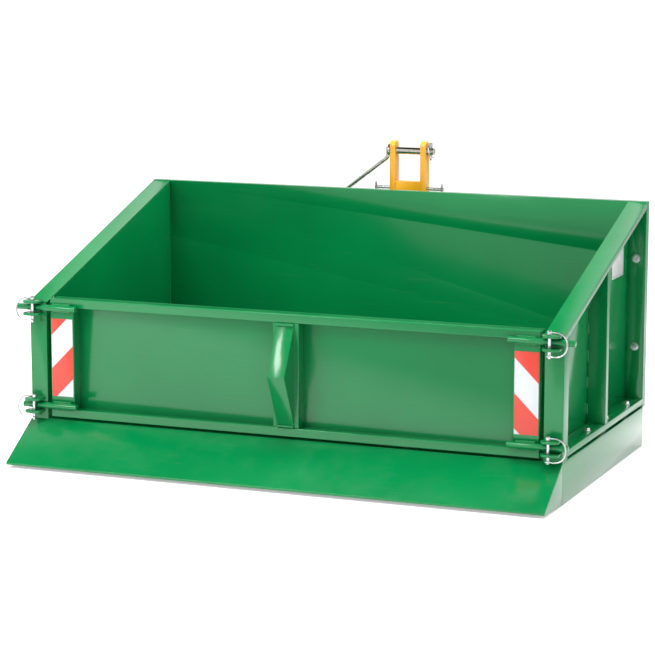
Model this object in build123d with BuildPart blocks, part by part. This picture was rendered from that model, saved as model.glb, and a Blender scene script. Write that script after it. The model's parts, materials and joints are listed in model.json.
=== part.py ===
"""Rear transport box for a tractor's three-point linkage, as a bolted and welded assembly.

Frame: X across the box, Y from the tailgate (0) towards the tractor, Z up from the ground.
The origin is at ground level, mid-width, in the plane of the tailgate's front face.
All sizes are in millimetres.
"""
from build123d import *
from math import asin, atan2, cos, hypot, sin
import os

os.makedirs("parts", exist_ok=True)

# ---- overall sizes
width = 1800.0            # over the front posts
depth = 916.0             # tailgate face to the back of the rear wall
base_height = 131.0       # ground to the load floor
front_height = 517.0      # top of the side rail at the front
rear_height = 818.0       # top of the side rail and of the rear wall
sheet = 4.0               # folded sheet steel

# ---- side panels
rail_width = 64.0         # flat top of the side rail
rail_lip = 23.0           # lip that hangs from the rail's outer edge
post_width = 60.0
post_depth = 50.0
fold_radius = 4.0
flange_height = 30.0      # bottom flange above the load floor
flange_lip = 19.0
rib_y = 458.0             # front face of the side rib
rib_return = 26.0
rear_lip = 24.0           # lips that stiffen the rear wall

# ---- base and loading ramp
runner_width = 60.0
runner_pitch = 450.0
runner_wall = 4.0
ramp_reach = 177.0
ramp_toe = 17.0           # top of the toe above the ground
ramp_plate = 6.0

# ---- tailgate
gate_gap = 14.0           # gate end to front post
gate_clearance = 8.5      # gate above the load floor
gate_rise = 10.5          # gate above the front of the side rails
gate_depth = 50.0
gate_sheet = 3.0
gate_rail = 28.0
end_width = 84.0
centre_width = 88.0
handle_width = 58.0
handle_reach = 80.0
handle_margin = 33.5      # handle to the top and to the foot of the gate
handle_lower_run = 167.0  # foot of the handle to its knee
label_width = 76.0
label_height = 254.0
label_rise = 2.5          # label above the middle of the gate
film = 1.0

# ---- latches: a bar of the gate lies between two ears and a pin keeps it there
bar_drop = 29.5           # upper bar below the top of the gate
bar_lift = 38.5           # lower bar above the foot of the gate
bar_radius = 10.0
bar_stand_off = 1.0       # bar to the face of the post
bar_grip = 98.0           # length of bar that lies on the gate
bar_overhang = {"upper": 38.0, "lower": 20.0}   # past the outer face of the post
weld_depth = 9.0
ear_thickness = 8.0
ear_gap = 32.0
ear_width = 58.0
ear_reach = 44.0
ear_radius = 20.0
ear_inset = {"left": 20.0, "right": 33.0}       # middle of the ears from the post's outer face
pin_radius = 5.0
pin_to_bar = 2.0
pin_hole_clearance = 0.5
pin_offset = 5.0          # pin from the middle of the ears, towards the gate
pin_tail = 24.0           # pin below the lower ear
pin_chamfer = 2.0
head_radius = 7.0
head_height = 14.0
head_seat = 0.3           # head above the ear
eye_height = 7.5          # bow's pivot above the head's seat
bow_wire = 2.5
bow_clearance = 0.2
bow_gap = 0.5
bow_reach = 56.0
bow_drop = 72.0
bow_bend = 34.0
bow_overlap = 6.0

# ---- rating plate
plate_length = 134.0
plate_height = 108.0
plate_inset = 62.0        # from the rear wall
plate_drop = 128.0        # below the top of the rear wall

# ---- hitch
hitch_reach = 180.0       # hitch points behind the rear wall
lower_pin_z = 326.0
hitch_rise = 610.0        # top hitch point above the lower ones
top_pin_radius = 12.7
top_pin_bore_clearance = 0.4
lower_pin_radius = 14.0
lower_pin_length = 95.0
lower_shoulder = 412.5    # shoulder of each lower pin from mid-width
stud_radius = 12.0        # end of a lower pin that is welded into its bracket
cheek_thickness = 19.5
yoke_gap = 93.0
cheek_depth = 40.0
cheek_radius = 19.0
cheek_rise = 35.0         # cheek above the top hitch point
cheek_length = 331.0
block_drop = 105.0        # spacer block below the top hitch point
block_height = 55.0
block_inset = 4.0
mast_depth = 60.0
mast_wall = 5.0
mast_clearance = 6.0      # mast below the spacer block
mast_gap = 0.5            # clearance between the mast and each cheek
tube_side = 60.0
bracket_plate = 15.0
bracket_low = 40.0
bracket_rise = 53.0       # bracket above the lower pins
bracket_nose = 40.0
rod_radius = 6.0
rod_drop = 25.0           # cross rod below the top of the spacer block
rod_overhang = 62.0       # cross rod past each cheek
clip_wire = 2.0
clip_rise = 13.0
clip_tail = 22.0

# ---- top link pin with its linch pin
pin_overhang = 26.0       # pin past the right cheek
disc_radius = 24.0
disc_thickness = 8.0
disc_gap = 0.5
handle_rod = 7.0
grip_weld = 2.0           # depth of the handle's weld into the disc
grip_run = 155.0          # slanting part of the handle, across and down
grip_fall = 118.0
clip_stand_off = 13.0     # linch pin from the right cheek
clip_pin_radius = 4.5
clip_seat = 0.3
clip_head = 6.5
clip_head_height = 18.0
clip_pin_tail = 18.0      # linch pin below the top link pin
clip_bow_drop = 8.0       # bow below the top link pin, less the head's height
clip_bow_reach = 34.0
clip_bow_bend = 20.0

# ---- fasteners
bolt_radius = 6.0
bolt_flats = 19.0
bolt_head = 7.5
washer_radius = 14.0
washer_thickness = 2.5
nut_height = 10.0
bolt_clearance = 0.5
flange_bolt_back = (567.0, 362.0, 112.0)     # from the rear wall
flange_bolt_inset = 28.0
rear_bolt_rise = 205.0    # lower bolt above the load floor
rear_bolt_drop = 188.0    # upper bolt below the top of the rear wall
rear_bolt_inset = 32.0
yoke_bolt_drop = (98.0, 38.0)                # from the top of the mast
yoke_bolt_radius = 8.0
yoke_bolt_flats = 24.0
yoke_bolt_head = 10.0
yoke_bolt_run = 24.0

# ---- worked out from the sizes above
half = width / 2
wall_x = half - rail_width            # inside face of a side wall
post_x = half - post_width            # inside face of a front post
wall_back = depth - sheet             # front face of the rear wall
slope = (rear_height - front_height) / depth
tilt = atan2(rear_height - front_height, depth)
rail_drop = sheet / cos(tilt)         # rail sheet measured straight down
flange_top = base_height + flange_height
flange_bolt_y = [wall_back - back for back in flange_bolt_back]
rear_bolt_z = (base_height + rear_bolt_rise, rear_height - rear_bolt_drop)

gate_half = post_x - gate_gap
gate_bottom = base_height + gate_clearance
gate_top = front_height + gate_rise
handle_top = gate_top - handle_margin
handle_bottom = gate_bottom + handle_margin
handle_knee = handle_bottom + handle_lower_run
label_centre = (gate_bottom + gate_top) / 2 + label_rise

bar_levels = {"upper": gate_top - bar_drop, "lower": gate_bottom + bar_lift}
bar_inner = gate_half - bar_grip
bar_outer = {level: half + overhang for level, overhang in bar_overhang.items()}
bar_y = -(bar_radius + bar_stand_off)
ear_centre = {name: half - inset for name, inset in ear_inset.items()}
pin_x = {name: centre - pin_offset for name, centre in ear_centre.items()}
pin_y = bar_y - bar_radius - pin_to_bar - pin_radius
bow_lean = asin((pin_radius + bow_gap + bow_wire) / bow_drop)   # clears the pin's tail

pin_centre_y = depth + hitch_reach
top_pin_z = lower_pin_z + hitch_rise
cheek_inner = yoke_gap / 2
cheek_outer = cheek_inner + cheek_thickness
cheek_front = pin_centre_y - cheek_depth / 2
cheek_back = pin_centre_y + cheek_depth / 2
cheek_top = top_pin_z + cheek_rise
cheek_bottom = cheek_top - cheek_length
block_top = top_pin_z - block_drop
block_bottom = block_top - block_height
mast_top = block_bottom - mast_clearance
mast_half = cheek_inner - mast_gap
rod_z = block_top - rod_drop
rod_half = cheek_outer + rod_overhang
yoke_bolt_z = [mast_top - drop for drop in yoke_bolt_drop]


def rail_z(y):
    """Height of the rail's top face at a given depth."""
    return front_height + slope * y


def block(x, y, z, mode=Mode.ADD):
    """Adds a box to the open part. Each argument is a pair of opposite faces."""
    spans = [(min(pair), max(pair)) for pair in (x, y, z)]
    centre = tuple((low + high) / 2 for low, high in spans)
    with Locations(centre):
        Box(*(high - low for low, high in spans), mode=mode)


def rod(start, end, radius, mode=Mode.ADD):
    """Adds a round bar from start to end to the open part."""
    axis = Vector(*end) - Vector(*start)
    with BuildSketch(Plane(origin=start, z_dir=axis)) as section:
        Circle(radius)
    extrude(section.sketch, amount=axis.length, mode=mode)


def side_outline(points, x_low, x_high, mode=Mode.ADD):
    """Adds a plate with a (y, z) outline between two x positions to the open part."""
    low, high = min(x_low, x_high), max(x_low, x_high)
    with BuildSketch(Plane.YZ.offset(low)) as outline:
        Polygon(*points, align=None)
    extrude(outline.sketch, amount=high - low, dir=(1, 0, 0), mode=mode)


def hexagon(plane, flats, height):
    """Adds a hexagonal bolt head or nut that stands on a plane."""
    with BuildSketch(plane) as section:
        RegularPolygon(flats / 2, 6, major_radius=False)
    extrude(section.sketch, amount=height)


def bow_sweep(plane, start, reach, drop, overlap, bend):
    """Adds a D-shaped wire bow: out from its eye, down, and back past the pin's tail."""
    with BuildLine(plane) as bow:
        FilletPolyline((-start, 0), (reach, 0), (reach, -drop), (-overlap, -drop), radius=bend)
    with BuildSketch(Plane(origin=bow.line @ 0, z_dir=bow.line % 0)) as section:
        Circle(bow_wire)
    sweep(section.sketch, path=bow.line)


def finish(piece, label):
    """Names a finished piece and writes it."""
    piece.part.label = label
    export_step(piece.part, f"parts/{label}.step")


sides = (("left", -1), ("right", 1))

# ================================================================== base
with BuildPart() as floor_plate:
    block((-half, half), (0, depth), (base_height - sheet, base_height))
    for y in flange_bolt_y:
        for side in (-1, 1):
            x = side * (half - flange_bolt_inset)
            rod((x, y, base_height - 2 * sheet), (x, y, base_height + sheet),
                bolt_radius + bolt_clearance, Mode.SUBTRACT)
finish(floor_plate, "floor_plate")

for name, side in sides:
    with BuildPart() as base_side:
        block((side * half, side * (half - sheet)), (0, depth), (0, base_height - sheet))
        block((side * (half - sheet), side * (half - flange_bolt_inset)),
              (ramp_plate, depth - sheet), (0, sheet))
    finish(base_side, f"base_side_{name}")

with BuildPart() as base_rear_plate:
    block((sheet - half, half - sheet), (depth - sheet, depth), (0, base_height - sheet))
finish(base_rear_plate, "base_rear_plate")

with BuildPart() as floor_runners:
    for x in (-runner_pitch, 0, runner_pitch):
        reach = runner_width / 2
        block((x - reach, x + reach), (0, depth - sheet), (0, base_height - sheet))
        block((x - reach + runner_wall, x + reach - runner_wall), (0, depth - sheet),
              (runner_wall, base_height - sheet - runner_wall), Mode.SUBTRACT)
finish(floor_runners, "floor_runners")

ramp_rise = base_height - ramp_toe
ramp_down = ramp_plate * hypot(ramp_reach, ramp_rise) / ramp_reach
with BuildPart() as loading_ramp:
    side_outline([(0, base_height), (-ramp_reach, ramp_toe),
                  (-ramp_reach, ramp_toe - ramp_down), (0, base_height - ramp_down)], -half, half)
finish(loading_ramp, "loading_ramp")

with BuildPart() as ramp_gussets:
    toe_cut = ramp_down / ramp_rise * ramp_reach
    for x in (ramp_plate - half, -runner_pitch, 0, runner_pitch, half):
        side_outline([(0, base_height - ramp_down), (-ramp_reach, ramp_toe - ramp_down),
                      (0, 0)], x - ramp_plate, x)
finish(ramp_gussets, "ramp_gussets")

# ================================================================== side panels
for name, side in sides:
    inner, outer = side * wall_x, side * (wall_x + sheet)
    with BuildPart() as side_wall:
        side_outline([(post_depth, base_height), (wall_back - sheet, base_height),
                      (wall_back - sheet, rail_z(wall_back - sheet) - rail_drop),
                      (post_depth, rail_z(post_depth) - rail_drop)], inner, outer)
    finish(side_wall, f"side_wall_{name}")

    with BuildPart() as top_rail:
        side_outline([(0, rail_z(0) - rail_drop), (0, rail_z(0)), (wall_back, rail_z(wall_back)),
                      (wall_back, rail_z(wall_back) - rail_drop)], inner, side * half)
        side_outline([(0, rail_z(0) - rail_lip), (0, rail_z(0)), (wall_back, rail_z(wall_back)),
                      (wall_back, rail_z(wall_back) - rail_lip)],
                     side * (half - sheet), side * half)
    finish(top_rail, f"top_rail_{name}")

    with BuildPart() as front_post:
        post_inner, post_outer = side * post_x, side * (half - sheet)
        side_outline([(0, base_height), (post_depth, base_height),
                      (post_depth, rail_z(post_depth) - rail_drop), (0, rail_z(0) - rail_drop)],
                     post_inner, post_outer)
        side_outline([(0, base_height), (post_depth, base_height),
                      (post_depth, rail_z(post_depth) - rail_lip), (0, rail_z(0) - rail_lip)],
                     side * half, post_outer)
        upright = [edge for edge in front_post.edges().filter_by(Axis.Z)
                   if edge.center().Y < post_depth / 2 and edge.length > post_depth]
        fillet(ShapeList(upright).sort_by(Axis.X)[0 if side < 0 else -1], fold_radius)
        block((side * (post_x + sheet), side * (half - 2 * sheet)), (sheet, post_depth - sheet),
              (0, rear_height), Mode.SUBTRACT)
    finish(front_post, f"front_post_{name}")

    with BuildPart() as bottom_flange:
        block((outer, side * half), (post_depth, wall_back - sheet),
              (flange_top - sheet, flange_top))
        block((side * (half - sheet), side * half), (post_depth, wall_back - sheet),
              (flange_top - flange_lip, flange_top))
        for y in flange_bolt_y:
            x = side * (half - flange_bolt_inset)
            rod((x, y, flange_top - 2 * sheet), (x, y, flange_top + sheet),
                bolt_radius + bolt_clearance, Mode.SUBTRACT)
    finish(bottom_flange, f"bottom_flange_{name}")

    with BuildPart() as rear_flange:
        block((inner, side * half), (wall_back - sheet, wall_back),
              (base_height, rail_z(wall_back - sheet) - rail_lip))
        block((inner, side * (half - sheet)), (wall_back - sheet, wall_back),
              (base_height, rail_z(wall_back - sheet) - rail_drop))
        for z in rear_bolt_z:
            x = side * (half - rear_bolt_inset)
            rod((x, wall_back - 2 * sheet, z), (x, wall_back + sheet, z),
                bolt_radius + bolt_clearance, Mode.SUBTRACT)
    finish(rear_flange, f"rear_flange_{name}")

    with BuildPart() as side_rib:
        side_outline([(rib_y, flange_top), (rib_y + sheet, flange_top),
                      (rib_y + sheet, rail_z(rib_y + sheet) - rail_drop),
                      (rib_y, rail_z(rib_y) - rail_drop)], outer, side * (half - sheet))
        side_outline([(rib_y, flange_top), (rib_y + rib_return, flange_top),
                      (rib_y + rib_return, rail_z(rib_y + rib_return) - rail_lip),
                      (rib_y, rail_z(rib_y) - rail_lip)], side * (half - sheet), side * half)
    finish(side_rib, f"side_rib_{name}")

# ================================================================== rear wall
with BuildPart() as rear_wall:
    block((-half, half), (wall_back, depth), (base_height, rear_height))
    block((-half, half), (depth, depth + rear_lip), (rear_height - sheet, rear_height))
    for side in (-1, 1):
        block((side * (half - sheet), side * half), (depth, depth + rear_lip),
              (base_height, rear_height))
        for z in rear_bolt_z:
            x = side * (half - rear_bolt_inset)
            rod((x, wall_back - sheet, z), (x, depth + sheet, z),
                bolt_radius + bolt_clearance, Mode.SUBTRACT)
finish(rear_wall, "rear_wall")

# ================================================================== panel fasteners
with BuildPart() as flange_bolts:
    for side in (-1, 1):
        for y in flange_bolt_y:
            x = side * (half - flange_bolt_inset)
            top = flange_top + washer_thickness
            rod((x, y, flange_top), (x, y, top), washer_radius)
            hexagon(Plane.XY.offset(top).move(Location((x, y, 0))), bolt_flats, bolt_head)
            rod((x, y, base_height - sheet - nut_height - washer_thickness), (x, y, top), bolt_radius)
finish(flange_bolts, "flange_bolts")

with BuildPart() as rear_bolts:
    for side in (-1, 1):
        for z in rear_bolt_z:
            x = side * (half - rear_bolt_inset)
            face = wall_back - sheet
            rod((x, face - washer_thickness, z), (x, face, z), washer_radius)
            hexagon(Plane(origin=(x, face - washer_thickness, z), z_dir=(0, -1, 0)),
                    bolt_flats, bolt_head)
            rod((x, face - washer_thickness, z), (x, depth + nut_height + washer_thickness, z),
                bolt_radius)
finish(rear_bolts, "rear_bolts")

with BuildPart() as panel_nuts:
    for side in (-1, 1):
        for y in flange_bolt_y:
            x = side * (half - flange_bolt_inset)
            hexagon(Plane.XY.offset(base_height - sheet - nut_height).move(Location((x, y, 0))),
                    bolt_flats, nut_height)
            rod((x, y, 0), (x, y, base_height), bolt_radius, Mode.SUBTRACT)
        for z in rear_bolt_z:
            x = side * (half - rear_bolt_inset)
            hexagon(Plane(origin=(x, depth, z), z_dir=(0, 1, 0)), bolt_flats, nut_height)
            rod((x, wall_back, z), (x, depth + 2 * nut_height, z), bolt_radius, Mode.SUBTRACT)
finish(panel_nuts, "panel_nuts")

# ================================================================== latch ears on the front posts
for name, side in sides:
    with BuildPart() as latch_ears:
        for level in bar_levels.values():
            for bottom in (level - ear_gap / 2 - ear_thickness, level + ear_gap / 2):
                with BuildSketch(Plane.XY.offset(bottom)) as ear:
                    with Locations((side * ear_centre[name], -ear_reach / 2)):
                        Rectangle(ear_width, ear_reach)
                    fillet(ear.vertices().group_by(Axis.Y)[0], ear_radius)
                    with Locations((side * pin_x[name], pin_y)):
                        Circle(pin_radius + pin_hole_clearance, mode=Mode.SUBTRACT)
                extrude(amount=ear_thickness)
    finish(latch_ears, f"latch_ears_{name}")

# ================================================================== tailgate
with BuildPart() as gate_panel:
    block((-gate_half, gate_half), (gate_depth - sheet, gate_depth), (gate_bottom, gate_top))
finish(gate_panel, "gate_panel")

rail_levels = {"gate_top_rail": (gate_top - gate_rail, gate_top),
               "gate_bottom_rail": (gate_bottom, gate_bottom + gate_rail)}
for label, (low, high) in rail_levels.items():
    with BuildPart() as gate_member:
        block((-gate_half, gate_half), (0, gate_depth - sheet), (low, high))
        fillet(gate_member.edges().filter_by(Axis.X).group_by(Axis.Y)[0], gate_sheet)
        block((gate_sheet - gate_half, gate_half - gate_sheet), (gate_sheet, gate_depth - sheet),
              (low + gate_sheet, high - gate_sheet), Mode.SUBTRACT)
    finish(gate_member, label)

uprights = {"gate_end_left": (-gate_half, end_width - gate_half),
            "gate_end_right": (gate_half - end_width, gate_half),
            "gate_centre_post": (-centre_width / 2, centre_width / 2)}
member_z = (gate_bottom + gate_rail, gate_top - gate_rail)
for label, (low, high) in uprights.items():
    with BuildPart() as gate_upright:
        block((low, high), (0, gate_depth - sheet), member_z)
        fillet(gate_upright.edges().filter_by(Axis.Z).group_by(Axis.Y)[0], gate_sheet)
        block((low + gate_sheet, high - gate_sheet), (gate_sheet, gate_depth - sheet),
              member_z, Mode.SUBTRACT)
    finish(gate_upright, label)

with BuildPart() as gate_handle:
    side_outline([(0, handle_top), (-handle_reach, handle_knee), (0, handle_bottom)],
                 -handle_width / 2, handle_width / 2)
    upper_run, lower_run = handle_top - handle_knee, handle_knee - handle_bottom
    upper_cut = gate_sheet * hypot(upper_run, handle_reach) / handle_reach
    lower_cut = gate_sheet * hypot(lower_run, handle_reach) / handle_reach
    inner_reach = handle_reach * (1 - (upper_cut + lower_cut) / (upper_run + lower_run))
    inner_knee = handle_top - upper_cut - inner_reach * upper_run / handle_reach
    side_outline([(0, handle_top - upper_cut), (-inner_reach, inner_knee),
                  (0, handle_bottom + lower_cut)],
                 gate_sheet - handle_width / 2, handle_width / 2 - gate_sheet, Mode.SUBTRACT)
finish(gate_handle, "gate_handle")

with BuildPart() as gate_latch_bars:
    for level_name, level in bar_levels.items():
        for side in (-1, 1):
            rod((side * bar_inner, bar_y, level), (side * bar_outer[level_name], bar_y, level),
                bar_radius)
            block((side * (gate_half - end_width + weld_depth), side * (gate_half - weld_depth)),
                  (0, bar_y), (level - weld_depth, level + weld_depth))
finish(gate_latch_bars, "gate_latch_bars")

for name, side in sides:
    with BuildPart() as warning_film:
        middle = side * (gate_half - end_width / 2)
        block((middle - label_width / 2, middle + label_width / 2), (-film, 0),
              (label_centre - label_height / 2, label_centre + label_height / 2))
    finish(warning_film, f"warning_film_{name}")

# ================================================================== latch pins and their bows
for level_name, level in bar_levels.items():
    seat = level + ear_gap / 2 + ear_thickness + head_seat
    tip = level - ear_gap / 2 - ear_thickness - pin_tail
    eye = seat + eye_height
    for name, side in sides:
        x = side * pin_x[name]
        with BuildPart() as latch_pin:
            rod((x, pin_y, tip), (x, pin_y, seat), pin_radius)
            chamfer(latch_pin.faces().sort_by(Axis.Z)[0].edges(), pin_chamfer)
            rod((x, pin_y, seat), (x, pin_y, seat + head_height), head_radius)
            chamfer(latch_pin.faces().sort_by(Axis.Z)[-1].edges(), pin_chamfer)
            rod((x - 2 * head_radius, pin_y, eye), (x + 2 * head_radius, pin_y, eye),
                bow_wire + bow_clearance, Mode.SUBTRACT)
        finish(latch_pin, f"latch_pin_{level_name}_{name}")

        leaning = Plane(origin=(x, pin_y, eye), x_dir=(side, 0, 0),
                        z_dir=(0, -side * cos(bow_lean), side * sin(bow_lean)))
        with BuildPart() as latch_bow:
            bow_sweep(leaning, head_radius + bow_gap, bow_reach, bow_drop, bow_overlap, bow_bend)
        finish(latch_bow, f"latch_bow_{level_name}_{name}")

# ================================================================== rating plate
plate_back = wall_back - plate_inset
plate_top = rear_height - plate_drop
with BuildPart() as rating_plate:
    block((wall_x + sheet, wall_x + sheet + film), (plate_back - plate_length, plate_back),
          (plate_top - plate_height, plate_top))
finish(rating_plate, "rating_plate")

# ================================================================== hitch frame
for name, side in sides:
    shoulder = side * lower_shoulder
    with BuildPart() as link_bracket:
        back = pin_centre_y + bracket_nose
        side_outline([(depth, bracket_low), (depth + bracket_nose, bracket_low),
                      (back, lower_pin_z - bracket_nose), (back, lower_pin_z + bracket_rise),
                      (depth, lower_pin_z + bracket_rise)],
                     shoulder - side * bracket_plate, shoulder)
        rod((shoulder - side * 2 * bracket_plate, pin_centre_y, lower_pin_z),
            (shoulder + side * bracket_plate, pin_centre_y, lower_pin_z),
            stud_radius, Mode.SUBTRACT)
    finish(link_bracket, f"link_bracket_{name}")

    with BuildPart() as lower_link_pin:
        end = shoulder + side * lower_pin_length
        rod((shoulder, pin_centre_y, lower_pin_z), (end, pin_centre_y, lower_pin_z),
            lower_pin_radius)
        chamfer(lower_link_pin.faces().sort_by(Axis.X)[0 if side < 0 else -1].edges(), pin_chamfer)
        rod((shoulder - side * bracket_plate, pin_centre_y, lower_pin_z),
            (shoulder, pin_centre_y, lower_pin_z), stud_radius)
        cross = end - side * lower_pin_radius
        rod((cross, pin_centre_y, lower_pin_z - 2 * lower_pin_radius),
            (cross, pin_centre_y, lower_pin_z + 2 * lower_pin_radius),
            pin_radius + pin_hole_clearance, Mode.SUBTRACT)
    finish(lower_link_pin, f"lower_link_pin_{name}")

tube_z = (lower_pin_z - tube_side / 2, lower_pin_z + tube_side / 2)
tube_y = (pin_centre_y - tube_side / 2, pin_centre_y + tube_side / 2)
tube_x = lower_shoulder - bracket_plate
with BuildPart() as hitch_cross_tube:
    block((-tube_x, tube_x), tube_y, tube_z)
    fillet(hitch_cross_tube.edges().filter_by(Axis.X), fold_radius)
    block((-tube_x, tube_x), (tube_y[0] + mast_wall, tube_y[1] - mast_wall),
          (tube_z[0] + mast_wall, tube_z[1] - mast_wall), Mode.SUBTRACT)
finish(hitch_cross_tube, "hitch_cross_tube")

mast_y = (pin_centre_y - mast_depth / 2, pin_centre_y + mast_depth / 2)
with BuildPart() as mast:
    block((-mast_half, mast_half), mast_y, (tube_z[1], mast_top))
    fillet(mast.edges().filter_by(Axis.Z), fold_radius)
    block((mast_wall - mast_half, mast_half - mast_wall),
          (mast_y[0] + mast_wall, mast_y[1] - mast_wall), (tube_z[1], mast_top), Mode.SUBTRACT)
    for z in yoke_bolt_z:
        rod((-half, pin_centre_y, z), (half, pin_centre_y, z),
            yoke_bolt_radius + bolt_clearance, Mode.SUBTRACT)
finish(mast, "mast")

with BuildPart() as mast_stay:
    for low, high in ((sum(yoke_bolt_z) / 2 - tube_side, sum(yoke_bolt_z) / 2), tube_z):
        block((-mast_half, mast_half), (depth, mast_y[0]), (low, high))
        block((mast_wall - mast_half, mast_half - mast_wall), (depth, mast_y[0]),
              (low + mast_wall, high - mast_wall), Mode.SUBTRACT)
finish(mast_stay, "mast_stay")

with BuildPart() as top_link_yoke:
    for side in (-1, 1):
        face = cheek_inner if side > 0 else -cheek_outer
        with BuildSketch(Plane.YZ.offset(face)) as cheek:
            with Locations((pin_centre_y, (cheek_bottom + cheek_top) / 2)):
                Rectangle(cheek_depth, cheek_top - cheek_bottom)
            fillet(cheek.vertices().group_by(Axis.Y)[-1], cheek_radius)
            with Locations((pin_centre_y, top_pin_z)):
                Circle(top_pin_radius + top_pin_bore_clearance, mode=Mode.SUBTRACT)
            with Locations((pin_centre_y, rod_z)):
                Circle(rod_radius + bolt_clearance, mode=Mode.SUBTRACT)
            with Locations(*((pin_centre_y, z) for z in yoke_bolt_z)):
                Circle(yoke_bolt_radius + bolt_clearance, mode=Mode.SUBTRACT)
        extrude(amount=cheek_thickness)
    block((-cheek_inner, cheek_inner), (cheek_front + block_inset, cheek_back - block_inset),
          (block_bottom, block_top))
    rod((-cheek_outer, pin_centre_y, rod_z), (cheek_outer, pin_centre_y, rod_z),
        rod_radius + bolt_clearance, Mode.SUBTRACT)
finish(top_link_yoke, "top_link_yoke")

with BuildPart() as yoke_bolts:
    for z in yoke_bolt_z:
        rod((-cheek_outer, pin_centre_y, z), (cheek_outer + yoke_bolt_run, pin_centre_y, z),
            yoke_bolt_radius)
        hexagon(Plane(origin=(-cheek_outer, pin_centre_y, z), z_dir=(-1, 0, 0)),
                yoke_bolt_flats, yoke_bolt_head)
finish(yoke_bolts, "yoke_bolts")

with BuildPart() as yoke_nuts:
    for z in yoke_bolt_z:
        hexagon(Plane(origin=(cheek_outer, pin_centre_y, z), z_dir=(1, 0, 0)),
                yoke_bolt_flats, yoke_bolt_head + washer_thickness)
        rod((cheek_outer, pin_centre_y, z), (half, pin_centre_y, z), yoke_bolt_radius, Mode.SUBTRACT)
finish(yoke_nuts, "yoke_nuts")

clip_x = rod_half - 3 * clip_wire
with BuildPart() as yoke_cross_rod:
    rod((-rod_half, pin_centre_y, rod_z), (rod_half, pin_centre_y, rod_z), rod_radius)
    chamfer(yoke_cross_rod.edges().filter_by(GeomType.CIRCLE), clip_wire / 2)
    for side in (-1, 1):
        rod((side * clip_x, pin_centre_y, rod_z - 2 * rod_radius),
            (side * clip_x, pin_centre_y, rod_z + 2 * rod_radius),
            clip_wire + bow_clearance, Mode.SUBTRACT)
finish(yoke_cross_rod, "yoke_cross_rod")

with BuildPart() as rod_clips:
    for side in (-1, 1):
        x = side * clip_x
        shank_top = rod_z + rod_radius + clip_rise
        clip_bend = 2 * clip_wire
        outer_y = pin_centre_y - rod_radius - clip_bend
        with BuildLine():
            FilletPolyline((x, pin_centre_y, rod_z - clip_tail), (x, pin_centre_y, shank_top),
                           (x, outer_y, shank_top), (x, outer_y, rod_z - clip_tail),
                           radius=clip_bend)
        with BuildSketch(Plane.XY.offset(rod_z - clip_tail).move(Location((x, pin_centre_y, 0)))):
            Circle(clip_wire)
        sweep()
finish(rod_clips, "rod_clips")

# ================================================================== top link pin, its clip and bow
pin_end = cheek_outer + pin_overhang
clip_pin_x = cheek_outer + clip_stand_off
disc_x = -(cheek_outer + disc_gap)
grip_neck_x = disc_x - disc_thickness - handle_rod + grip_weld
grip_elbow_z = top_pin_z - disc_radius
with BuildPart() as top_link_pin:
    rod((disc_x, pin_centre_y, top_pin_z), (pin_end, pin_centre_y, top_pin_z), top_pin_radius)
    chamfer(top_link_pin.faces().sort_by(Axis.X)[-1].edges(), pin_chamfer)
    rod((disc_x - disc_thickness, pin_centre_y, top_pin_z), (disc_x, pin_centre_y, top_pin_z),
        disc_radius)
    rod((clip_pin_x, pin_centre_y, top_pin_z - 2 * top_pin_radius),
        (clip_pin_x, pin_centre_y, top_pin_z + 2 * top_pin_radius),
        clip_pin_radius + bow_clearance, Mode.SUBTRACT)
    with BuildLine():
        FilletPolyline((grip_neck_x, pin_centre_y, top_pin_z + top_pin_radius),
                       (grip_neck_x, pin_centre_y, grip_elbow_z),
                       (grip_neck_x - grip_run, pin_centre_y, grip_elbow_z - grip_fall),
                       radius=3 * handle_rod)
    with BuildSketch(Plane(origin=(grip_neck_x, pin_centre_y, top_pin_z + top_pin_radius),
                           z_dir=(0, 0, -1))):
        Circle(handle_rod)
    sweep()
finish(top_link_pin, "top_link_pin")

clip_base = top_pin_z + top_pin_radius + clip_seat
clip_eye = clip_base + clip_head_height - clip_head
clip_drop = clip_eye - top_pin_z + top_pin_radius + clip_bow_drop
with BuildPart() as top_link_clip:
    rod((clip_pin_x, pin_centre_y, top_pin_z - top_pin_radius - clip_pin_tail),
        (clip_pin_x, pin_centre_y, clip_base), clip_pin_radius)
    chamfer(top_link_clip.faces().sort_by(Axis.Z)[0].edges(), pin_chamfer)
    rod((clip_pin_x, pin_centre_y, clip_base),
        (clip_pin_x, pin_centre_y, clip_base + clip_head_height), clip_head)
    chamfer(top_link_clip.faces().sort_by(Axis.Z)[-1].edges(), pin_chamfer)
    rod((clip_pin_x, pin_centre_y - 2 * clip_head, clip_eye),
        (clip_pin_x, pin_centre_y + 2 * clip_head, clip_eye), bow_wire + bow_clearance,
        Mode.SUBTRACT)
finish(top_link_clip, "top_link_clip")

clip_lean = asin((clip_pin_radius + bow_gap + bow_wire) / clip_drop)
clip_leaning = Plane(origin=(clip_pin_x, pin_centre_y, clip_eye), x_dir=(0, -1, 0),
                     z_dir=(-cos(clip_lean), 0, -sin(clip_lean)))
with BuildPart() as top_link_clip_bow:
    bow_sweep(clip_leaning, clip_head + bow_gap, clip_bow_reach, clip_drop, bow_overlap,
              clip_bow_bend)
finish(top_link_clip_bow, "top_link_clip_bow")
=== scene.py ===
import json
import math
import random

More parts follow.
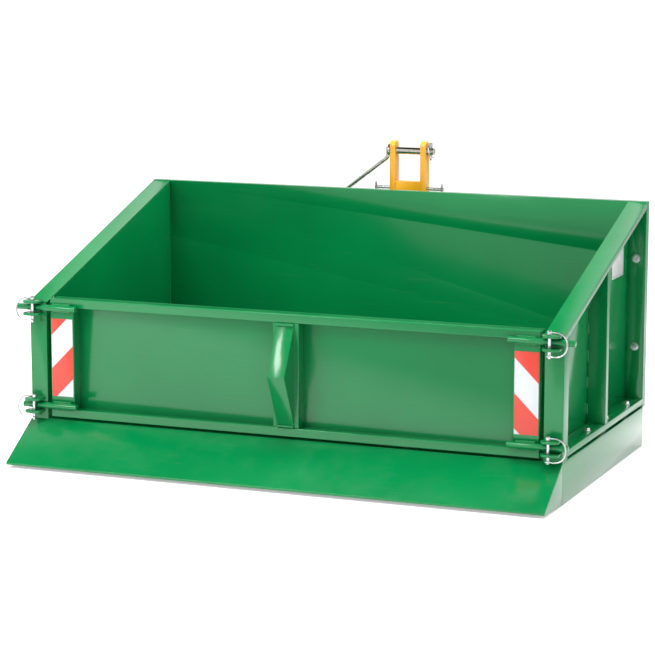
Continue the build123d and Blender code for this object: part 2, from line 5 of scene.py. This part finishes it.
import bmesh
import bpy
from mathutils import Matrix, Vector


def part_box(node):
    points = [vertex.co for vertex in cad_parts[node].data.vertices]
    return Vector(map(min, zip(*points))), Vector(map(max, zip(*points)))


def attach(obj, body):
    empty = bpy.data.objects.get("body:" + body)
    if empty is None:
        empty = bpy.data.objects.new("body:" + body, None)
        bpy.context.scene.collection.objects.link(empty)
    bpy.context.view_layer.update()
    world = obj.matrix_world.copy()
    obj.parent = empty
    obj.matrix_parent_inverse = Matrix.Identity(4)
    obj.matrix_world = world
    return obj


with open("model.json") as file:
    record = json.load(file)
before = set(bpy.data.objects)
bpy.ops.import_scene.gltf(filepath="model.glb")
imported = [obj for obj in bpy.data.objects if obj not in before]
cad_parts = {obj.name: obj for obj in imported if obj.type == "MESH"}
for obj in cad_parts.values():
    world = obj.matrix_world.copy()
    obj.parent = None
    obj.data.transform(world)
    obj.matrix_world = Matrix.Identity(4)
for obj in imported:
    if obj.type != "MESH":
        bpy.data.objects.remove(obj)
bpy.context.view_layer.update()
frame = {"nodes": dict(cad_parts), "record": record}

# The looks of a tractor's rear transport box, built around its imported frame. Metres throughout.

nodes = frame["nodes"]

# ---------------------------------------------------------------- colours, linear light
GREEN = (0.0008, 0.185, 0.049, 1)
GREEN_DUSTY = (0.16, 0.27, 0.18, 1)
YELLOW = (0.80, 0.37, 0.014, 1)
YELLOW_DUSTY = (0.5, 0.4, 0.2, 1)
ZINC = (0.74, 0.75, 0.76, 1)
ZINC_DULL = (0.50, 0.50, 0.49, 1)
STEEL = (0.66, 0.63, 0.58, 1)
STEEL_DULL = (0.36, 0.34, 0.31, 1)
WARNING_RED = (0.70, 0.042, 0.018, 1)
WARNING_WHITE = (0.66, 0.68, 0.71, 1)
PLATE_WHITE = (0.62, 0.62, 0.62, 1)
PLATE_GREY = (0.30, 0.31, 0.32, 1)
FLOOR_WHITE = (0.90, 0.90, 0.90, 1)
ROOM_WHITE = (0.90, 0.90, 0.90, 1)
ROOM_LIGHT = (0.80, 0.80, 0.80, 1)
CEILING_DARK = (0.03, 0.03, 0.03, 1)
BACKDROP_WHITE = (1, 1, 1, 1)


# ---------------------------------------------------------------- node helpers
def place(tree, kind, values=None, **settings):
    """Adds a node and sets its plain properties and its sockets' values."""
    node = tree.nodes.new(kind)
    for key, value in settings.items():
        setattr(node, key, value)
    for socket, value in (values or {}).items():
        node.inputs[socket].default_value = value
    return node


def join(tree, *pairs):
    """Links output sockets to input sockets, given in pairs."""
    for output, socket in pairs:
        tree.links.new(output, socket)


def new_group(name, inputs, outputs):
    """A shader node group with named sockets. Each input is (name, kind, value)."""
    tree = bpy.data.node_groups.new(name, "ShaderNodeTree")
    for label, kind, value in inputs:
        socket = tree.interface.new_socket(label, in_out="INPUT", socket_type=kind)
        socket.default_value = value
    for label, kind in outputs:
        tree.interface.new_socket(label, in_out="OUTPUT", socket_type=kind)
    return tree, place(tree, "NodeGroupInput"), place(tree, "NodeGroupOutput")


def ramp(tree, low, high, kind="LINEAR"):
    """A map range that turns low..high into 0..1."""
    return place(tree, "ShaderNodeMapRange", {"From Min": low, "From Max": high},
                 interpolation_type=kind)


def mix(tree, blend="MIX"):
    """A colour mix node."""
    return place(tree, "ShaderNodeMix", data_type="RGBA", blend_type=blend)


# ---------------------------------------------------------------- shared effects
def paint_film_group():
    """Sprayed enamel: tone drift, settled dust, faint rubbed marks, orange peel, sheet waves. Turned up
    high, the pale rubbed streaks also act as a painted sheen.
    """
    tree, source, result = new_group(
        "paint_film",
        [("Paint", "NodeSocketColor", GREEN), ("Dust", "NodeSocketColor", GREEN_DUSTY),
         ("Dust Amount", "NodeSocketFloat", 0.1), ("Rub And Sheen Amount", "NodeSocketFloat", 0.1),
         ("Gloss", "NodeSocketFloat", 0.2), ("Wave", "NodeSocketFloat", 0.1)],
        [("Color", "NodeSocketColor"), ("Roughness", "NodeSocketFloat"),
         ("Normal", "NodeSocketVector")])
    where = place(tree, "ShaderNodeTexCoord")
    drift = place(tree, "ShaderNodeTexNoise", {"Scale": 2.2, "Detail": 3.0, "Roughness": 0.5})
    tone = place(tree, "ShaderNodeMapRange", {"From Min": 0.3, "From Max": 0.7,
                                              "To Min": 0.90, "To Max": 1.10})
    tint = mix(tree, "MULTIPLY")
    tint.inputs["Factor"].default_value = 1.0
    join(tree, (where.outputs["Object"], drift.inputs["Vector"]),
         (drift.outputs["Fac"], tone.inputs["Value"]),
         (source.outputs["Paint"], tint.inputs["A"]), (tone.outputs["Result"], tint.inputs["B"]))

    # dust lies on faces that look up, in soft patches
    facing = place(tree, "ShaderNodeNewGeometry")
    split = place(tree, "ShaderNodeSeparateXYZ")
    upward = ramp(tree, 0.2, 1.0)
    patches = place(tree, "ShaderNodeTexNoise", {"Scale": 9.0, "Detail": 8.0, "Roughness": 0.65})
    cloud = ramp(tree, 0.42, 0.72, "SMOOTHSTEP")
    lying = place(tree, "ShaderNodeMath", operation="MULTIPLY")
    dusty = place(tree, "ShaderNodeMath", operation="MULTIPLY")
    dusted = mix(tree)
    join(tree, (facing.outputs["Normal"], split.inputs["Vector"]),
         (split.outputs["Z"], upward.inputs["Value"]),
         (where.outputs["Object"], patches.inputs["Vector"]),
         (patches.outputs["Fac"], cloud.inputs["Value"]),
         (upward.outputs["Result"], lying.inputs[0]), (cloud.outputs["Result"], lying.inputs[1]),
         (lying.outputs["Value"], dusty.inputs[0]), (source.outputs["Dust Amount"], dusty.inputs[1]),
         (dusty.outputs["Value"], dusted.inputs["Factor"]),
         (tint.outputs["Result"], dusted.inputs["A"]), (source.outputs["Dust"], dusted.inputs["B"]))

    # rubbed marks are thin drawn-out streaks that dull the paint towards the dust colour; turned up high,
    # as on the skirt, these pale streaks are also a painted sheen
    stretch = place(tree, "ShaderNodeMapping", {"Rotation": (0.3, 0.5, 0.2),
                                                "Scale": (3.0, 14.0, 60.0)})
    streaks = place(tree, "ShaderNodeTexNoise", {"Scale": 2.0, "Detail": 5.0, "Roughness": 0.6})
    marks = ramp(tree, 0.60, 0.72, "SMOOTHSTEP")
    rubbed_and_sheen = place(tree, "ShaderNodeMath", operation="MULTIPLY")
    pale = mix(tree)
    join(tree, (where.outputs["Object"], stretch.inputs["Vector"]),
         (stretch.outputs["Vector"], streaks.inputs["Vector"]),
         (streaks.outputs["Fac"], marks.inputs["Value"]),
         (marks.outputs["Result"], rubbed_and_sheen.inputs[0]),
         (source.outputs["Rub And Sheen Amount"], rubbed_and_sheen.inputs[1]),
         (rubbed_and_sheen.outputs["Value"], pale.inputs["Factor"]),
         (dusted.outputs["Result"], pale.inputs["A"]), (source.outputs["Dust"], pale.inputs["B"]),
         (pale.outputs["Result"], result.inputs["Color"]))
    dull = place(tree, "ShaderNodeMath", operation="ADD")
    smear = place(tree, "ShaderNodeMath", {1: 0.08}, operation="MULTIPLY")
    matte = place(tree, "ShaderNodeMath", operation="ADD", use_clamp=True)
    join(tree, (source.outputs["Gloss"], dull.inputs[0]), (dusty.outputs["Value"], dull.inputs[1]),
         (drift.outputs["Fac"], smear.inputs[0]), (dull.outputs["Value"], matte.inputs[0]),
         (smear.outputs["Value"], matte.inputs[1]),
         (matte.outputs["Value"], result.inputs["Roughness"]))

    # orange peel over the long shallow waves of thin sheet
    peel = place(tree, "ShaderNodeTexNoise", {"Scale": 260.0, "Detail": 2.0})
    wave = place(tree, "ShaderNodeTexNoise", {"Scale": 3.2, "Detail": 1.0})
    skin = place(tree, "ShaderNodeBump", {"Strength": 0.06, "Distance": 0.0004})
    buckle = place(tree, "ShaderNodeBump", {"Distance": 0.012})
    join(tree, (where.outputs["Object"], peel.inputs["Vector"]),
         (where.outputs["Object"], wave.inputs["Vector"]),
         (wave.outputs["Fac"], buckle.inputs["Height"]),
         (source.outputs["Wave"], buckle.inputs["Strength"]),
         (peel.outputs["Fac"], skin.inputs["Height"]),
         (buckle.outputs["Normal"], skin.inputs["Normal"]),
         (skin.outputs["Normal"], result.inputs["Normal"]))
    return tree


def plated_steel_group():
    """Plated or ground steel: mottled tone, drawn lines and small handling marks."""
    tree, source, result = new_group(
        "plated_steel",
        [("Bright", "NodeSocketColor", ZINC), ("Dull", "NodeSocketColor", ZINC_DULL),
         ("Gloss", "NodeSocketFloat", 0.25), ("Grain", "NodeSocketFloat", 0.1)],
        [("Color", "NodeSocketColor"), ("Roughness", "NodeSocketFloat"),
         ("Normal", "NodeSocketVector")])
    where = place(tree, "ShaderNodeTexCoord")
    mottle = place(tree, "ShaderNodeTexNoise", {"Scale": 120.0, "Detail": 6.0, "Roughness": 0.7})
    spread = ramp(tree, 0.38, 0.68, "SMOOTHSTEP")
    tone = mix(tree)
    worn = place(tree, "ShaderNodeMath", {1: 0.14}, operation="MULTIPLY")
    rough = place(tree, "ShaderNodeMath", operation="ADD", use_clamp=True)
    lines = place(tree, "ShaderNodeMapping", {"Scale": (900.0, 900.0, 40.0)})
    drawn = place(tree, "ShaderNodeTexNoise", {"Scale": 1.0, "Detail": 2.0})
    relief = place(tree, "ShaderNodeBump", {"Distance": 0.0002})
    join(tree, (where.outputs["Object"], mottle.inputs["Vector"]),
         (mottle.outputs["Fac"], spread.inputs["Value"]),
         (spread.outputs["Result"], tone.inputs["Factor"]),
         (source.outputs["Bright"], tone.inputs["A"]), (source.outputs["Dull"], tone.inputs["B"]),
         (tone.outputs["Result"], result.inputs["Color"]),
         (spread.outputs["Result"], worn.inputs[0]), (source.outputs["Gloss"], rough.inputs[0]),
         (worn.outputs["Value"], rough.inputs[1]), (rough.outputs["Value"], result.inputs["Roughness"]),
         (where.outputs["Object"], lines.inputs["Vector"]),
         (lines.outputs["Vector"], drawn.inputs["Vector"]),
         (drawn.outputs["Fac"], relief.inputs["Height"]),
         (source.outputs["Grain"], relief.inputs["Strength"]),
         (relief.outputs["Normal"], result.inputs["Normal"]))
    return tree


PAINT_FILM = paint_film_group()
PLATED_STEEL = plated_steel_group()


# ---------------------------------------------------------------- materials
def shaded(name, group, values, shader_values):
    """A material whose Principled shader takes colour, roughness and normal from a group."""
    material = bpy.data.materials.new(name)
    material.use_nodes = True
    tree = material.node_tree
    shader = tree.nodes["Principled BSDF"]
    for socket, value in shader_values.items():
        shader.inputs[socket].default_value = value
    effect = place(tree, "ShaderNodeGroup", node_tree=group)
    for socket, value in values.items():
        effect.inputs[socket].default_value = value
    join(tree, (effect.outputs["Color"], shader.inputs["Base Color"]),
         (effect.outputs["Roughness"], shader.inputs["Roughness"]),
         (effect.outputs["Normal"], shader.inputs["Normal"]))
    return material


def enamel(name, paint, dust, dust_amount, rub_and_sheen, gloss, wave, coat):
    """Two-coat gloss enamel on sheet steel."""
    return shaded(name, PAINT_FILM,
                  {"Paint": paint, "Dust": dust, "Dust Amount": dust_amount, "Rub And Sheen Amount": rub_and_sheen,
                   "Gloss": gloss, "Wave": wave},
                  {"IOR": 1.5, "Coat Weight": coat, "Coat Roughness": 0.06, "Coat IOR": 1.5})


def plated(name, bright, dull, gloss, grain):
    """Metal with a plated or polished surface."""
    return shaded(name, PLATED_STEEL,
                  {"Bright": bright, "Dull": dull, "Gloss": gloss, "Grain": grain},
                  {"Metallic": 1.0})


def warning_film(name, node, lean, first_edge):
    """Reflective warning film: red and white bands at 45 degrees over a fine cell pattern."""
    low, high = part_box(node)
    band = 0.108
    material = bpy.data.materials.new(name)
    material.use_nodes = True
    tree = material.node_tree
    shader = tree.nodes["Principled BSDF"]
    shader.inputs["Coat Weight"].default_value = 0.5
    shader.inputs["Coat Roughness"].default_value = 0.12
    where = place(tree, "ShaderNodeTexCoord")
    split = place(tree, "ShaderNodeSeparateXYZ")
    across = place(tree, "ShaderNodeMath", {1: low.x}, operation="SUBTRACT")
    leaned = place(tree, "ShaderNodeMath", {1: lean}, operation="MULTIPLY")
    height = place(tree, "ShaderNodeMath", operation="ADD")
    shifted = place(tree, "ShaderNodeMath", {1: first_edge}, operation="SUBTRACT")
    counted = place(tree, "ShaderNodeMath", {1: 2 * band}, operation="DIVIDE")
    phase = place(tree, "ShaderNodeMath", operation="FRACT")
    white = ramp(tree, 0.498, 0.502)
    bands = mix(tree)
    bands.inputs["A"].default_value = WARNING_RED
    bands.inputs["B"].default_value = WARNING_WHITE
    cells = place(tree, "ShaderNodeTexVoronoi", {"Scale": 330.0}, feature="DISTANCE_TO_EDGE")
    wall = ramp(tree, 0.02, 0.12)
    shade = place(tree, "ShaderNodeMapRange", {"To Min": 0.88, "To Max": 1.0})
    celled = mix(tree, "MULTIPLY")
    celled.inputs["Factor"].default_value = 1.0
    rough = place(tree, "ShaderNodeMapRange", {"To Min": 0.45, "To Max": 0.28})
    relief = place(tree, "ShaderNodeBump", {"Strength": 0.25, "Distance": 0.0003})
    join(tree, (where.outputs["Object"], split.inputs["Vector"]),
         (split.outputs["X"], across.inputs[0]), (across.outputs["Value"], leaned.inputs[0]),
         (leaned.outputs["Value"], height.inputs[0]), (split.outputs["Z"], height.inputs[1]),
         (height.outputs["Value"], shifted.inputs[0]), (shifted.outputs["Value"], counted.inputs[0]),
         (counted.outputs["Value"], phase.inputs[0]), (phase.outputs["Value"], white.inputs["Value"]),
         (white.outputs["Result"], bands.inputs["Factor"]),
         (where.outputs["Object"], cells.inputs["Vector"]),
         (cells.outputs["Distance"], wall.inputs["Value"]),
         (wall.outputs["Result"], shade.inputs["Value"]),
         (bands.outputs["Result"], celled.inputs["A"]), (shade.outputs["Result"], celled.inputs["B"]),
         (celled.outputs["Result"], shader.inputs["Base Color"]),
         (wall.outputs["Result"], rough.inputs["Value"]),
         (rough.outputs["Result"], shader.inputs["Roughness"]),
         (cells.outputs["Distance"], relief.inputs["Height"]),
         (relief.outputs["Normal"], shader.inputs["Normal"]))
    return material


def blank_plate(node):
    """Printed foil plate with an empty ruled border and no lettering."""
    low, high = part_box(node)
    margin, line = 0.006, 0.0015
    material = bpy.data.materials.new("plate_foil")
    material.use_nodes = True
    tree = material.node_tree
    shader = tree.nodes["Principled BSDF"]
    shader.inputs["Coat Weight"].default_value = 0.3
    where = place(tree, "ShaderNodeTexCoord")
    split = place(tree, "ShaderNodeSeparateXYZ")
    join(tree, (where.outputs["Object"], split.inputs["Vector"]))
    edges = []
    for axis, first, last in (("Y", low.y, high.y), ("Z", low.z, high.z)):
        offset = place(tree, "ShaderNodeMath", {1: (first + last) / 2}, operation="SUBTRACT")
        size = place(tree, "ShaderNodeMath", operation="ABSOLUTE")
        inset = place(tree, "ShaderNodeMath", {1: (last - first) / 2 - margin}, operation="SUBTRACT")
        join(tree, (split.outputs[axis], offset.inputs[0]), (offset.outputs["Value"], size.inputs[0]),
             (size.outputs["Value"], inset.inputs[0]))
        edges.append(inset)
    nearest = place(tree, "ShaderNodeMath", operation="MAXIMUM")
    distance = place(tree, "ShaderNodeMath", operation="ABSOLUTE")
    ruled = place(tree, "ShaderNodeMapRange", {"From Min": line, "From Max": line / 2})
    face = mix(tree)
    face.inputs["A"].default_value = PLATE_WHITE
    face.inputs["B"].default_value = PLATE_GREY
    fleck = place(tree, "ShaderNodeTexNoise", {"Scale": 400.0, "Detail": 3.0})
    rough = place(tree, "ShaderNodeMapRange", {"To Min": 0.25, "To Max": 0.5})
    join(tree, (edges[0].outputs["Value"], nearest.inputs[0]),
         (edges[1].outputs["Value"], nearest.inputs[1]),
         (nearest.outputs["Value"], distance.inputs[0]), (distance.outputs["Value"], ruled.inputs["Value"]),
         (ruled.outputs["Result"], face.inputs["Factor"]),
         (face.outputs["Result"], shader.inputs["Base Color"]),
         (where.outputs["Object"], fleck.inputs["Vector"]), (fleck.outputs["Fac"], rough.inputs["Value"]),
         (rough.outputs["Result"], shader.inputs["Roughness"]))
    return material


GREEN_SHEET = enamel("green_enamel_sheet", GREEN, GREEN_DUSTY, dust_amount=0.06, rub_and_sheen=0.05,
                     gloss=0.12, wave=0.10, coat=0.1)
GREEN_FRAME = enamel("green_enamel_frame", GREEN, GREEN_DUSTY, dust_amount=0.06, rub_and_sheen=0.04,
                     gloss=0.14, wave=0.0, coat=0.15)
# The skirt's rub amount is turned up so that its pale streaks paint the sheen of its glossy plates, on top
# of a few real rubbed marks.
GREEN_SKIRT = enamel("green_enamel_skirt", GREEN, GREEN_DUSTY, dust_amount=0.08, rub_and_sheen=0.22,
                     gloss=0.14, wave=0.04, coat=1.0)
YELLOW_CAST = enamel("yellow_enamel", YELLOW, YELLOW_DUSTY, dust_amount=0.10, rub_and_sheen=0.05,
                     gloss=0.22, wave=0.0, coat=0.3)
ZINC_PLATE = plated("zinc_plate", ZINC, ZINC_DULL, gloss=0.24, grain=0.10)
BRIGHT_STEEL = plated("bright_steel", STEEL, STEEL_DULL, gloss=0.13, grain=0.06)

FINISHES = {"yellow_paint": YELLOW_CAST, "zinc_plate": ZINC_PLATE, "bright_steel": BRIGHT_STEEL}
SHEET_NODES = ("floor_plate", "rear_wall", "side_wall_left", "side_wall_right", "gate_panel",
               "loading_ramp")
SKIRT_NODES = ("base_side_left", "base_side_right", "ramp_gussets", "base_rear_plate")
OWN_FINISH = {
    "warning_film_left": warning_film("film_left", "warning_film_left", lean=-1, first_edge=0.192),
    "warning_film_right": warning_film("film_right", "warning_film_right", lean=1, first_edge=0.227),
    "rating_plate": blank_plate("rating_plate")}


def finish_of(node, slot):
    """The material that a CAD node wears."""
    if node in OWN_FINISH:
        return OWN_FINISH[node]
    if node in SHEET_NODES:
        return GREEN_SHEET
    if node in SKIRT_NODES:
        return GREEN_SKIRT
    return FINISHES.get(slot, GREEN_FRAME)


def dress(obj, material):
    """Puts one material in every slot of an object."""
    if not obj.material_slots:
        obj.data.materials.append(material)
    for held in obj.material_slots:
        held.material = material


def ease_edges(obj, width):
    """Rounds the sharp edges of a CAD node as folding and painting leave them."""
    obj.data.polygons.foreach_set("use_smooth", [True] * len(obj.data.polygons))
    weld = obj.modifiers.new("weld", "WELD")
    weld.merge_threshold = 1e-5
    flat = obj.modifiers.new("flat_faces", "DECIMATE")
    flat.decimate_type = "DISSOLVE"
    flat.angle_limit = math.radians(0.5)
    bevel = obj.modifiers.new("eased_edges", "BEVEL")
    bevel.width = width
    bevel.segments = 2
    bevel.limit_method = "ANGLE"
    bevel.angle_limit = math.radians(35)
    bevel.harden_normals = True


SHEET_EASED = 0.0012
EASED = {"yellow_paint": 0.0015, "zinc_plate": 0.0006, "bright_steel": 0.0008,
         "reflective_film": 0.0002, "blank_plate": 0.0002}
for entry in frame["record"]["subparts"]:
    node, slot = entry["node"], entry["material_slot"]
    dress(nodes[node], finish_of(node, slot))
    ease_edges(nodes[node], EASED.get(slot, SHEET_EASED))


# ---------------------------------------------------------------- weld beads
def weld_bead(name, start, end, radius, body, seed):
    """A laid weld: a bead of overlapping ripples along a seam, half sunk into it."""
    chance = random.Random(seed)
    start, end = Vector(start), Vector(end)
    along = (end - start).normalized()
    side = along.orthogonal().normalized()
    up = along.cross(side)
    pitch = radius * 0.75
    ripples = max(3, round((end - start).length / pitch))
    steps, around = 4, 10
    rings = []
    mesh = bmesh.new()
    for i in range(ripples * steps + 1):
        within = i % steps / steps
        swell = 0.80 + 0.20 * math.sin(math.pi * within) if i % (ripples * steps) else 0.35
        wander = Vector((chance.uniform(-1, 1) for _ in range(3))) * radius * 0.05
        centre = start.lerp(end, i / (ripples * steps)) + wander
        size = radius * swell * chance.uniform(0.95, 1.05)
        turns = (2 * math.pi * k / around for k in range(around))
        rings.append([mesh.verts.new(centre + (side * math.cos(t) + up * math.sin(t)) * size)
                      for t in turns])
    for one, two in zip(rings, rings[1:]):
        for k in range(around):
            mesh.faces.new((one[k], one[k - 1], two[k - 1], two[k]))
    mesh.faces.new(rings[0])
    mesh.faces.new(list(reversed(rings[-1])))
    bmesh.ops.recalc_face_normals(mesh, faces=mesh.faces)
    data = bpy.data.meshes.new(name)
    mesh.to_mesh(data)
    mesh.free()
    data.polygons.foreach_set("use_smooth", [True] * len(data.polygons))
    bead = bpy.data.objects.new(name, data)
    bpy.context.scene.collection.objects.link(bead)
    dress(bead, GREEN_FRAME)
    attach(bead, body)
    return bead


def handle_welds():
    """Beads along the top, foot and sides of the tailgate handle."""
    low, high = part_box("gate_handle")
    proud = -0.002
    for label, z in (("top", high.z), ("foot", low.z)):
        weld_bead(f"handle_weld_{label}", (low.x, proud, z), (high.x, proud, z),
                  radius=0.0055, body="tailgate", seed=11)
    for label, x in (("left", low.x), ("right", high.x)):
        weld_bead(f"handle_weld_{label}", (x, 0, low.z), (x, 0, high.z),
                  radius=0.0022, body="tailgate", seed=12)


def latch_bar_welds():
    """Two beads hold each latch bar to the tailgate's end channel."""
    low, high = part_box("gate_latch_bars")
    bar_radius, proud, end_gap = 0.010, -0.003, 0.010
    for level, centre in (("upper", high.z - bar_radius), ("lower", low.z + bar_radius)):
        for side in ("left", "right"):
            near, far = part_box(f"gate_end_{side}")
            for label, z in (("over", centre + bar_radius), ("under", centre - bar_radius)):
                weld_bead(f"bar_weld_{level}_{side}_{label}", (near.x + end_gap, proud, z),
                          (far.x - end_gap, proud, z), radius=0.0055, body="tailgate",
                          seed=len(level) + len(side))


def rib_welds():
    """Short stitches where each side rib meets its wall."""
    stitch, pitch, first, proud = 0.035, 0.085, 0.03, -0.001
    for side in ("left", "right"):
        low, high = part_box(f"side_rib_{side}")
        root = low.x if side == "right" else high.x
        for k in range(int((high.z - low.z) / pitch)):
            z = low.z + first + k * pitch
            weld_bead(f"rib_weld_{side}_{k}", (root, low.y + proud, z),
                      (root, low.y + proud, z + stitch), radius=0.003, body="box", seed=30 + k)


def ear_welds():
    """A bead on the outer face of each latch ear, where it meets the front post."""
    ear_thickness, ear_gap, proud, end_gap = 0.008, 0.032, -0.001, 0.004
    pair = 2 * ear_thickness + ear_gap
    for side in ("left", "right"):
        low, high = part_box(f"latch_ears_{side}")
        for level, top in (("upper", high.z), ("lower", low.z + pair)):
            for label, z in (("over", top), ("under", top - pair)):
                weld_bead(f"ear_weld_{level}_{side}_{label}", (low.x + end_gap, proud, z),
                          (high.x - end_gap, proud, z), radius=0.003, body="box", seed=50)


handle_welds()
latch_bar_welds()
rib_welds()
ear_welds()


# ---------------------------------------------------------------- studio
def studio_floor():
    """A pale floor that runs well past the box and is lifted to white where it is seen."""
    size, lifted = 400, 0.4
    bpy.ops.mesh.primitive_plane_add(size=size, location=(0, 0, 0))
    floor = bpy.context.object
    floor.name = "studio_floor"
    material = bpy.data.materials.new("floor_paper")
    material.use_nodes = True
    tree = material.node_tree
    shader = tree.nodes["Principled BSDF"]
    shader.inputs["Base Color"].default_value = FLOOR_WHITE
    shader.inputs["Roughness"].default_value = 0.7
    shader.inputs["Emission Color"].default_value = BACKDROP_WHITE
    path = place(tree, "ShaderNodeLightPath")
    lift = place(tree, "ShaderNodeMath", {1: lifted}, operation="MULTIPLY")
    join(tree, (path.outputs["Is Camera Ray"], lift.inputs[0]),
         (lift.outputs["Value"], shader.inputs["Emission Strength"]))
    dress(floor, material)


def softbox(name, place_at, look_at, width, height, power):
    """A rectangular soft light."""
    data = bpy.data.lights.new(name, "AREA")
    data.shape = "RECTANGLE"
    data.size, data.size_y, data.energy = width, height, power
    light = bpy.data.objects.new(name, data)
    bpy.context.scene.collection.objects.link(light)
    light.location = place_at
    aim = Vector(look_at) - Vector(place_at)
    light.rotation_euler = aim.to_track_quat("-Z", "Y").to_euler()
    return light


def studio_world():
    """A white room with a dark ceiling that only shows in the paint's reflections."""
    world = bpy.data.worlds.new("studio")
    bpy.context.scene.world = world
    world.use_nodes = True
    tree = world.node_tree
    where = place(tree, "ShaderNodeTexCoord")
    split = place(tree, "ShaderNodeSeparateXYZ")
    ceiling = ramp(tree, 0.70, 0.84, "SMOOTHSTEP")
    room = mix(tree)
    room.inputs["A"].default_value = ROOM_WHITE
    room.inputs["B"].default_value = CEILING_DARK
    path = place(tree, "ShaderNodeLightPath")
    lit = mix(tree)
    lit.inputs["A"].default_value = ROOM_LIGHT
    seen = mix(tree)
    seen.inputs["B"].default_value = BACKDROP_WHITE
    join(tree, (where.outputs["Generated"], split.inputs["Vector"]),
         (split.outputs["Z"], ceiling.inputs["Value"]),
         (ceiling.outputs["Result"], room.inputs["Factor"]),
         (path.outputs["Is Glossy Ray"], lit.inputs["Factor"]),
         (room.outputs["Result"], lit.inputs["B"]),
         (path.outputs["Is Camera Ray"], seen.inputs["Factor"]),
         (lit.outputs["Result"], seen.inputs["A"]),
         (seen.outputs["Result"], tree.nodes["Background"].inputs["Color"]))


def studio_light():
    """A large box above, two in front on the left and a strip on the right."""
    middle = (0, 0.45, 0.4)
    overhead = softbox("overhead", (0.3, 0.1, 4.8), middle, width=3.5, height=2.5, power=270)
    softbox("front_high", (-1.9, -3.3, 3.7), middle, width=1.4, height=1.1, power=70)
    front_left = softbox("front_left", (-2.3, -2.3, 1.1), middle, width=1.6, height=1.6, power=26)
    softbox("right_strip", (4.0, 1.5, 1.6), middle, width=2.0, height=2.0, power=22)
    for light in (overhead, front_left):
        light.visible_glossy = False


def camera():
    """The camera stands off to the right of the tailgate and a little above it."""
    azimuth, elevation, distance = math.radians(22.27), math.radians(9.62), 8.155
    target = Vector((-0.064, 0.500, 0.403))
    back = Vector((math.sin(azimuth) * math.cos(elevation),
                   -math.cos(azimuth) * math.cos(elevation), math.sin(elevation)))
    data = bpy.data.cameras.new("camera")
    data.sensor_width, data.lens = 36.0, 135.8
    eye = bpy.data.objects.new("camera", data)
    bpy.context.scene.collection.objects.link(eye)
    eye.location = target + back * distance
    eye.rotation_euler = (-back).to_track_quat("-Z", "Y").to_euler()
    bpy.context.scene.camera = eye


studio_floor()
studio_world()
studio_light()
camera()

view = bpy.context.scene.view_settings
view.view_transform = "Standard"
